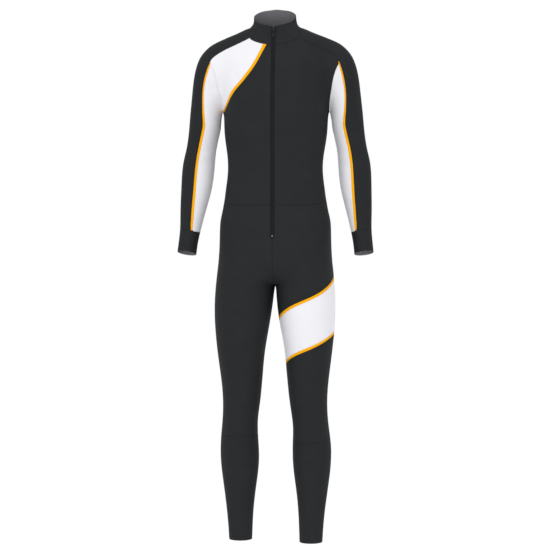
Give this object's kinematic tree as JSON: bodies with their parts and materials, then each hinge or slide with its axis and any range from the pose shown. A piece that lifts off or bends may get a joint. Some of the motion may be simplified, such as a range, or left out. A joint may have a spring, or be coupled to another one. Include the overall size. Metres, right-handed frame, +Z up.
{
  "type": "racing suit",
  "caption": "One-piece skin-tight long-sleeved racing suit with stand-up collar and front zip, worn form standing, open at neck, cuffs and ankles.",
  "frame": {"origin": "on the centre line at shoulder level, where the wearer's shoulders carry the suit", "axes": "+Z up, +X to the wearer's left, front facing -Y"},
  "size_m": [0.5697, 0.2393, 1.5498],
  "materials": {
    "black_knit": "matt stretch knit with a soft sheen",
    "white_knit": "matt stretch knit with a soft sheen",
    "amber_knit": "matt stretch knit with a soft sheen",
    "zip_tape": "woven tape",
    "zip_teeth": "nylon coil",
    "black_metal": "satin black",
    "steel": "plain"
  },
  "bodies": {
    "suit": {"front_right_chest": "white_knit", "chest_piping": "amber_knit", "front_right": "black_knit", "front_left": "black_knit", "back": "black_knit", "sleeve_left_inner": "white_knit", "sleeve_left_piping": "amber_knit", "sleeve_left_outer": "black_knit", "cuff_left": "black_knit", "sleeve_right_inner": "white_knit", "sleeve_right_piping": "amber_knit", "sleeve_right_outer": "black_knit", "cuff_right": "black_knit", "leg_right_upper": "black_knit", "leg_right_lower": "black_knit", "leg_left_upper": "black_knit", "band_piping_top": "amber_knit", "thigh_band": "white_knit", "band_piping_foot": "amber_knit", "leg_left_knee": "black_knit", "leg_left_lower": "black_knit", "collar": "black_knit", "zip_tape_left": "zip_tape", "zip_tape_right": "zip_tape", "zip_chain": "zip_teeth", "zip_stop": "steel", "zip_end": "zip_tape", "zip_slider": "black_metal"},
    "zip_pull_tab": {"zip_pull": "black_metal"}
  },
  "joints": [
    {"name": "zip_pull_hinge", "type": "hinge", "parent": "suit", "child": "zip_pull_tab", "pos_m": [0, -0.06795, 0.01581], "axis": [-1, 0, 0], "range_deg": [0, 150]}
  ]
}
